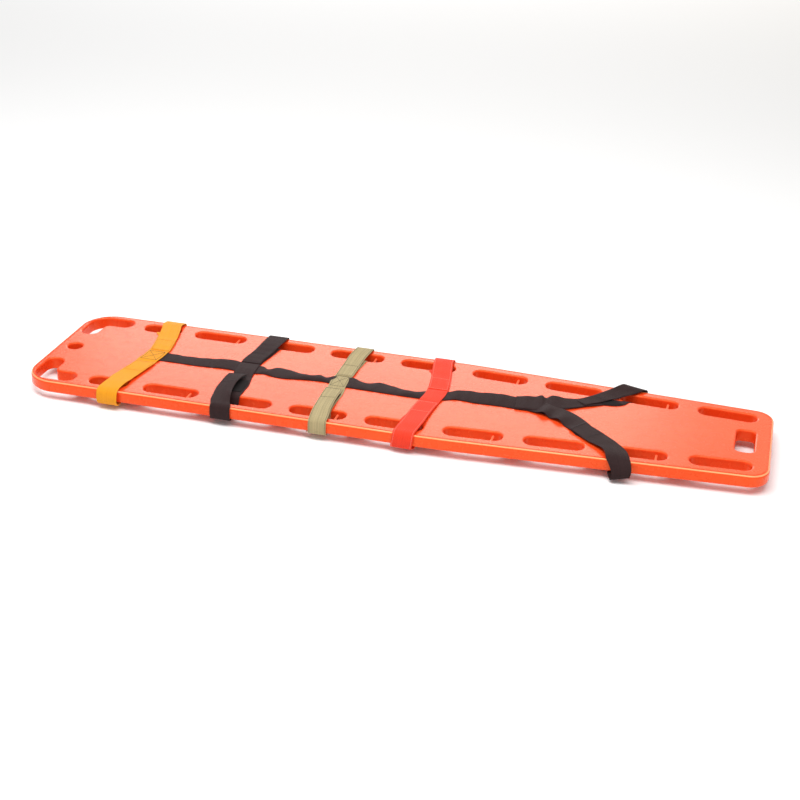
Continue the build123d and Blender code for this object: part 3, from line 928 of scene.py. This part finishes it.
def make_spine():
    """The spine strap, with its curled edges and its dips between the cross straps."""
    rows = [
        spine_row(-672, -24, 26), spine_row(-625, -19, 30), spine_row(-578, -18, 27, 0, 0, 0.5),
        spine_row(-532, -19, 28, 0, 0.5, 0.8), spine_row(-489, -17, 30, 0, 3, 0.5),
        spine_row(-458, -14, 31, 0.5, 6, 0.8), spine_row(-427, -15, 32, 0.5, 4, 0.6),
        spine_row(-394, -24, 27), spine_row(-360, -15, 28, 0, 1),
        spine_row(-342, -12, 19, 0, 0, 3.5), spine_row(-317, -19, 30, 0, 2.5, 1.5),
        spine_row(-289, -21, 27, 0, 2.5, 1.0), spine_row(-258, -16, 21, 0, 0.5, 3.5),
        spine_row(-228, -11, 19, 0, 0, 4.5), spine_row(-204, -9, 24, 0, 1.5, 3.5),
        spine_row(-186, -8, 19, 0, 0, 4.0), spine_row(-166, -12, 26, 0, 3, 1.5),
        spine_row(-146, -24, 26), spine_row(-117, -21, 29, 0, 4, 0.5),
        spine_row(-82, -21, 18, 0, 0, 3.0), spine_row(-45, -22, 26, 0, 2.5, 1.2),
        spine_row(-7, -23, 20, 0, 0, 2.0), spine_row(35, -24, 10, 0, 0, 4.5),
        spine_row(61, -24, 13, 0, 0, 4.0), spine_row(80, -23, 22, 0, 0.5, 1.0),
        spine_row(101, -23, 27), spine_row(129, -15, 30, 0, 2), spine_row(154, -4, 38, 0.5, 6, 1.0),
        spine_row(178, -4, 42, 0.5, 7, 1.0), spine_row(204, -7, 41, 0, 7, 1.0),
        spine_row(244, -5, 44, 0, 9, 1.0), spine_row(279, -5, 44, 0, 9, 1.0),
        spine_row(315, -7, 42, 0, 6), spine_row(345, -8, 40, 0, 5), spine_row(398, -14, 34),
    ]
    ribbon = Ribbon(rows, seed=90, ripple=SPINE_RIPPLE)
    obj = ribbon_object("spine_web", ribbon, MATERIALS["webbing_black"])
    finish_piece(obj, "root", replaced=["spine_strap"])


def make_shoulder_tops():
    """The folded middle of the shoulder strap, one piece to each side."""
    near_top = Ribbon([
        free_row(300, 44, 7.5, 306, -9, 2.8), free_row(330, 46, 8.5, 334, -8, 2.8),
        free_row(362, 42, 7, 358, -15, 4.0), free_row(392, 33, 6, 379, -23, 11.0, 2.0),
        free_row(416, 24, 4.5, 397, -33, 3.0, 3.0), free_row(442, 12, 3.5, 417, -43, 10.0, 1.0),
        free_row(464, -4, 3, 434, -58, 2.5, 1.5), free_row(486, -27, 2.5, 454, -77, 2.5),
        free_row(505, -48, LAY_Z, 470, -96, LAY_Z),
    ], seed=101, ripple=SHOULDER_RIPPLE)
    far_top = Ribbon([
        free_row(299, 46, 9.5, 305, -7, 4.6), free_row(328, 48, 14, 332, -5, 4.8),
        free_row(346, 54, 12, 352, -4, 5), free_row(360, 60, 14.8, 366, 0, 5),
        free_row(370, 62, 8, 381, 6, 5), free_row(384, 67, 14.8, 398, 12, 5),
        free_row(398, 70, 13.5, 414, 20, 4.5), free_row(412, 73, 9, 432, 30, 4),
        free_row(428, 78, 8, 450, 42, 3.5), free_row(446, 88, 5, 470, 56, 3),
        free_row(466, 104, 4, 492, 68, 2.5), free_row(482, 112, LAY_Z, 512, 80, LAY_Z),
    ], seed=102, ripple=SHOULDER_RIPPLE)
    for name, ribbon in (("shoulder_near_top_web", near_top), ("shoulder_far_top_web", far_top)):
        obj = ribbon_object(name, ribbon, MATERIALS["webbing_black"])
        finish_piece(obj, "root", replaced=["shoulder_strap"])


def make_shoulder_ends():
    """The shoulder strap's two ends, through slots that they enter at a slant."""
    low = 34.0
    # down the slot and in under the rail: distance from the centre line, height, how far the edge
    # towards the foot is drawn in by the slot's end, and how far the near end's other edge is
    slot_path = (
        (115, LAY_Z, 20, 0), (121, -1.5, 14, 0), (127, -10.0, 8, 0), (135, -24.0, 4, 0),
        (145, -35.0, 0, 2), (159, -low + 1.0, 0, 5), (172, -low - 0.4, 0, 8), (185, -low - 0.2, 0, 8),
    )
    near_under = [
        free_row(505, -48, LAY_Z, 470, -96, LAY_Z), free_row(532, -72, LAY_Z, 497, -108, LAY_Z),
        free_row(552, -104, LAY_Z, 524, -114, LAY_Z),
    ]
    far_under = [
        free_row(482, 112, LAY_Z, 512, 80, LAY_Z), free_row(505, 114, LAY_Z, 542, 85, LAY_Z),
        free_row(530, 115, LAY_Z, 560, 97, LAY_Z),
    ]
    near_over = [
        free_row(603, -185, -low, 559, -185, -low), free_row(607, -196, -35, 564, -198, -40),
        free_row(612, -205, -31, 569, -210, -40), free_row(615, -206, -22, 571, -211, -30),
        free_row(615, -203, -12, 568, -206, -17), free_row(613, -197, -3, 561, -199, -5),
        free_row(609, -187, 4, 553, -189, 5), free_row(603, -169, 6.5, 548, -173, 9),
        free_row(593, -146, 6.5, 539, -157, 10), free_row(577, -122, 5.5, 524, -142, 8),
        free_row(554, -97, TAIL_Z, 508, -130, 6), free_row(528, -72, TAIL_Z, 489, -113, 5),
        free_row(503, -50, TAIL_Z, 470, -94, TAIL_Z), free_row(482, -30, TAIL_Z, 450, -75, TAIL_Z),
    ]
    far_over = [
        free_row(551, 185, -low, 603, 185, -low), free_row(551, 196, -36, 604, 196, -36),
        free_row(550, 203, -22, 606, 202, -22), free_row(549, 202, -6, 607, 199, -6),
        free_row(548, 196, 8, 606, 193, 2), free_row(545, 187, 14.5, 600, 184, 5.5),
        free_row(534, 173, 14.8, 586, 166, 6), free_row(520, 158, 12, 570, 148, 6),
        free_row(505, 143, 9, 552, 130, 6), free_row(488, 126, 7, 531, 111, 5.5),
        free_row(470, 108, 5.5, 510, 93, 5), free_row(454, 93, 5, 488, 75, 5),
        free_row(438, 79, 5, 468, 58, 5),
    ]
    for side, side_name, under, over in (
        (-1, "near", near_under, near_over), (1, "far", far_under, far_over),
    ):
        base = f"shoulder_{side_name}"
        rows = list(under)
        for y, z, squeeze, shift in slot_path:
            left, right = (594 - squeeze, 551 + shift) if side < 0 else (550, 590 - squeeze)
            rows.append(free_row(left, side * y, z, right, side * y, z))
        lower = Ribbon(rows, seed=110 + side)
        upper = Ribbon(over, up=(0, 0, -1), seed=120 + side, ripple=SHOULDER_RIPPLE)
        inner = ("root", f"{base}_loop", *((x, side * y, DECK) for x, y in SHOULDER_BEND))
        outer = tail_bend(base, SHOULDER_LOOP_X, side)
        make_strap_end(base, "webbing_black", lower, upper, inner, outer, SHOULDER_LOOP_NAP)
        lines = [cross_line(upper, upper.length - distance) for distance in TAIL_SEAMS]
        sewn = stitches(f"{base}_tail_stitch", lines, MATERIALS["thread_black"])
        finish_piece(sewn, f"{base}_end")


# ---------------------------------------------------------------- the moulded rim bead, painted paler as a highlight line
# the board's ends, corner radii and rounded edge, in mm
HEAD_END, FOOT_END = -920.0, 920.0
HEAD_CORNER, FOOT_CORNER = 82.0, 48.0
EDGE_ROUND = 7.0
# about how many degrees a corner's points are apart
CORNER_STEP = 5
# the bead's inset from the edge, half its width, its height, and its underside as a share of that
BEAD_INSET, BEAD_HALF, BEAD_RISE = 2.9, 1.5, 0.8
BEAD_FOOT = -1.2
# where the straight rails turn into the taper: x, and how far the outline is rounded off there
TAPER_ROUNDING = ((120, 0.2), (150, 0.9), (180, 0.2))


def corner_arc(centre_x, centre_y, radius, start, end):
    """Points round a corner of the board, from one heading in degrees to another."""
    count = max(4, int(abs(end - start) / CORNER_STEP))
    return [
        Vector((
            centre_x + radius * math.cos(math.radians(start + (end - start) * k / count)),
            centre_y + radius * math.sin(math.radians(start + (end - start) * k / count)),
            0.0,
        ))
        for k in range(count + 1)
    ]


def rim_path(inset):
    """The board's outline drawn in by inset, once round, in mm."""
    slope = math.degrees(math.atan(TAPER_SLOPE))
    head_y = HALF_HEAD - HEAD_CORNER
    foot_x = FOOT_END - FOOT_CORNER
    foot_y = rim(foot_x) - FOOT_CORNER / math.cos(math.radians(slope))
    head = HEAD_CORNER - inset
    foot = FOOT_CORNER - inset
    far = corner_arc(HEAD_END + HEAD_CORNER, head_y, head, 180, 90)
    far += [Vector((x, HALF_HEAD - inset, 0.0)) for x in range(-800, 101, 50)]
    far += [Vector((x, rim(x) - inset - bend, 0.0)) for x, bend in TAPER_ROUNDING]
    far += [Vector((x, rim(x) - inset, 0.0)) for x in range(220, 861, 40)]
    far += corner_arc(foot_x, foot_y, foot, 90 - slope, 0)
    return far + [Vector((p.x, -p.y, 0.0)) for p in reversed(far)]


def make_rim_bead():
    """The fine raised line that the mould leaves all round the rim, coloured paler than the board as a
    painted highlight along the rim's edge.
    """
    path = rim_path(BEAD_INSET)
    arc_rise = math.sqrt(EDGE_ROUND ** 2 - (EDGE_ROUND - BEAD_INSET) ** 2)
    base = TOP - EDGE_ROUND + arc_rise
    slope = (EDGE_ROUND - BEAD_INSET) / arc_rise
    vertices, faces = [], []
    profile = [(math.cos(math.pi * k / 6), math.sin(math.pi * k / 6)) for k in range(7)]
    profile.append((0.0, BEAD_FOOT))
    around = len(profile)
    for index, point in enumerate(path):
        tangent = (path[(index + 1) % len(path)] - path[index - 1]).normalized()
        outward = Vector((-tangent.y, tangent.x, 0.0))
        for side, rise in profile:
            place = point + outward * side * BEAD_HALF
            tilt = -side * BEAD_HALF * slope
            vertices.append(Vector((place.x, place.y, base + rise * BEAD_RISE + tilt)) * MM)
    for index in range(len(path)):
        following = (index + 1) % len(path)
        for k in range(around):
            a, b = index * around + k, index * around + (k + 1) % around
            c, d = following * around + (k + 1) % around, following * around + k
            faces.append((a, b, c, d))
    # the bead's paler plastic is a painted highlight
    obj = make_object("rim_bead", vertices, faces, MATERIALS["bead"])
    recalculate(obj)
    finish_piece(obj, "root")


make_spine()
make_shoulder_tops()
make_shoulder_ends()
make_rim_bead()


# ---------------------------------------------------------------- the stage
CAMERA_TARGET = (0.0246, -0.0440)
CAMERA_ANGLES = (14.57, 26.80, 1.476)
CAMERA_DISTANCE = 3.516
CAMERA_LENS = 64.18
CAMERA_SENSOR = 36.0
WORLD_STRENGTH = 0.54
FLOOR_REACH = 60.0
WHITE = (1.0, 1.0, 1.0)
WARM = (1.0, 0.84, 0.58)
# name, place, target, size, power and colour
LIGHTS = (
    ("overhead", (-0.2, -0.8, 3.2), (0.0, -0.1, 0.0), (4.4, 1.5), 125.0, WHITE),
    ("behind", (-2.7, 8.8, 3.4), (-2.7, 0.0, 0.0), (5.8, 4.0), 222.0, WHITE),
    ("behind_foot", (1.9, 8.8, 3.4), (1.9, 0.0, 0.0), (3.4, 4.0), 44.0, WARM),
    ("front", (1.2, -4.5, 1.8), (0.0, 0.0, 0.0), (5.0, 2.0), 18.0, WHITE),
)


def make_camera():
    """The camera at the angles given as azimuth, elevation and roll."""
    target = Vector((*CAMERA_TARGET, DECK))
    azimuth, elevation, roll = (math.radians(angle) for angle in CAMERA_ANGLES)
    back = Vector((
        math.sin(azimuth) * math.cos(elevation),
        -math.cos(azimuth) * math.cos(elevation),
        math.sin(elevation),
    ))
    data = bpy.data.cameras.new("camera")
    data.lens = CAMERA_LENS
    data.sensor_width = CAMERA_SENSOR
    camera = bpy.data.objects.new("camera", data)
    bpy.context.scene.collection.objects.link(camera)
    turn = back.to_track_quat("Z", "Y").to_matrix().to_4x4()
    place = Matrix.Translation(target + back * CAMERA_DISTANCE)
    camera.matrix_world = place @ turn @ Matrix.Rotation(roll, 4, "Z")
    bpy.context.scene.camera = camera


def area_light(name, place, target, size, power, colour):
    """A rectangular soft light at place that faces target."""
    data = bpy.data.lights.new(name, "AREA")
    data.shape = "RECTANGLE"
    data.size, data.size_y = size
    data.energy = power
    data.color = colour
    light = bpy.data.objects.new(name, data)
    bpy.context.scene.collection.objects.link(light)
    light.location = place
    direction = Vector(target) - Vector(place)
    light.rotation_euler = direction.to_track_quat("-Z", "Y").to_euler()


def make_stage():
    """The world, the floor and the soft lights."""
    world = bpy.data.worlds.new("studio")
    world.use_nodes = True
    background = world.node_tree.nodes["Background"]
    background.inputs["Color"].default_value = (*WHITE, 1.0)
    background.inputs["Strength"].default_value = WORLD_STRENGTH
    bpy.context.scene.world = world
    bpy.context.scene.view_settings.view_transform = "Standard"
    quarters = ((-1, -1), (1, -1), (1, 1), (-1, 1))
    corners = [Vector((x * FLOOR_REACH, y * FLOOR_REACH, 0.0)) for x, y in quarters]
    floor = make_object("floor", corners, [(0, 1, 2, 3)], MATERIALS["floor"])
    for light in LIGHTS:
        area_light(*light)


make_camera()
make_stage()
